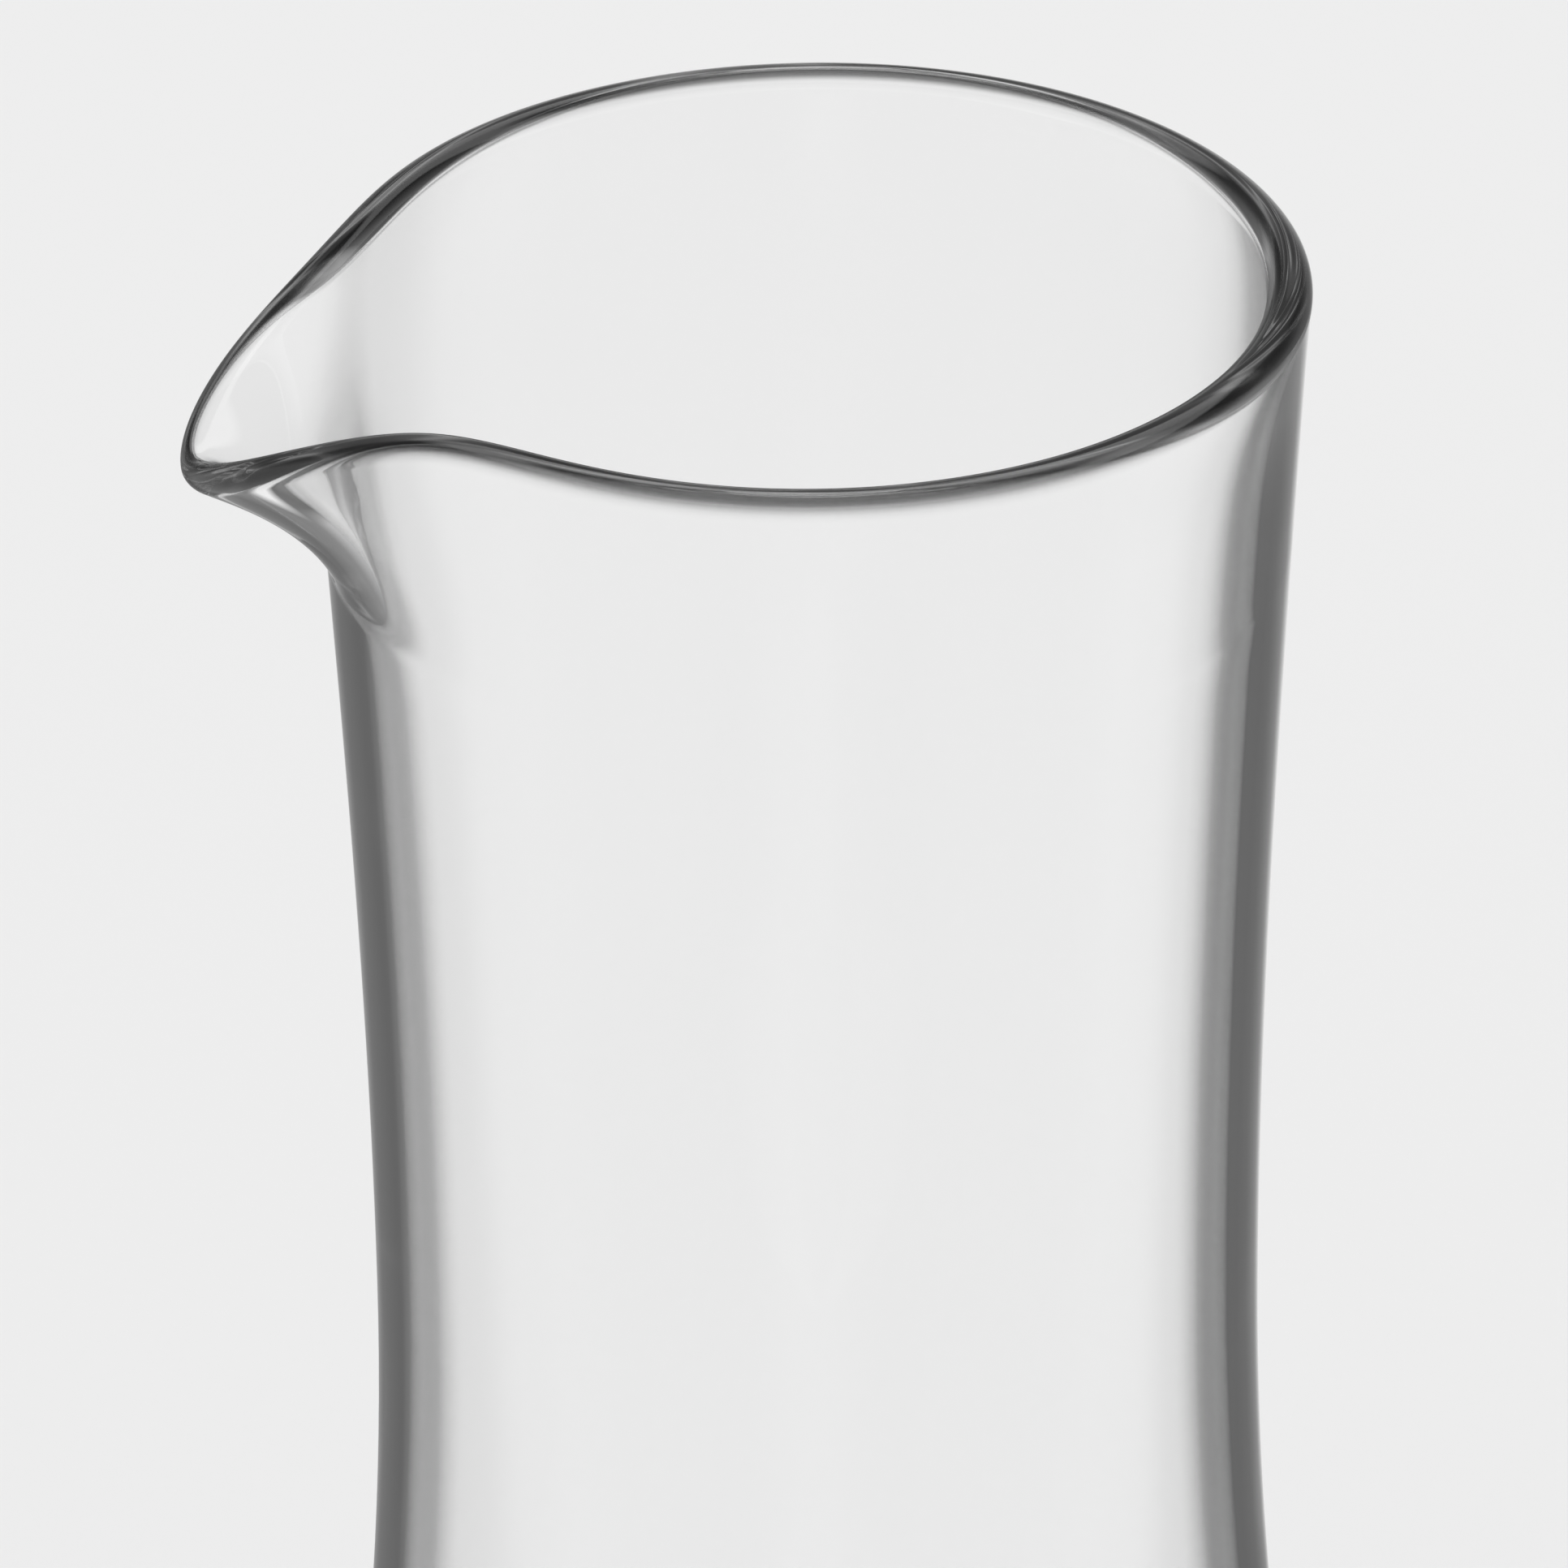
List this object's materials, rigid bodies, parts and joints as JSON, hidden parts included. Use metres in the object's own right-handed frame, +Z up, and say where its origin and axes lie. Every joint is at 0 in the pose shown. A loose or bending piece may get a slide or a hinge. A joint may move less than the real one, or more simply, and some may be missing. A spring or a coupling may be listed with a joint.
{
  "type": "water carafe",
  "caption": "Clear glass water carafe with a wide round mouth, a pulled pouring lip, a gentle waist and a rounded, thick-based lower body.",
  "frame": {"origin": "centre of the foot ring, on the carafe's axis, at the level of the table", "axes": "+Z up the axis to the mouth, -X out through the tip of the pouring lip, so the XZ plane is the plane of symmetry"},
  "size_m": [0.1068, 0.106, 0.27],
  "materials": {
    "clear_glass": "polished clear"
  },
  "bodies": {
    "root": {"glass_body": "clear_glass"}
  },
  "joints": []
}
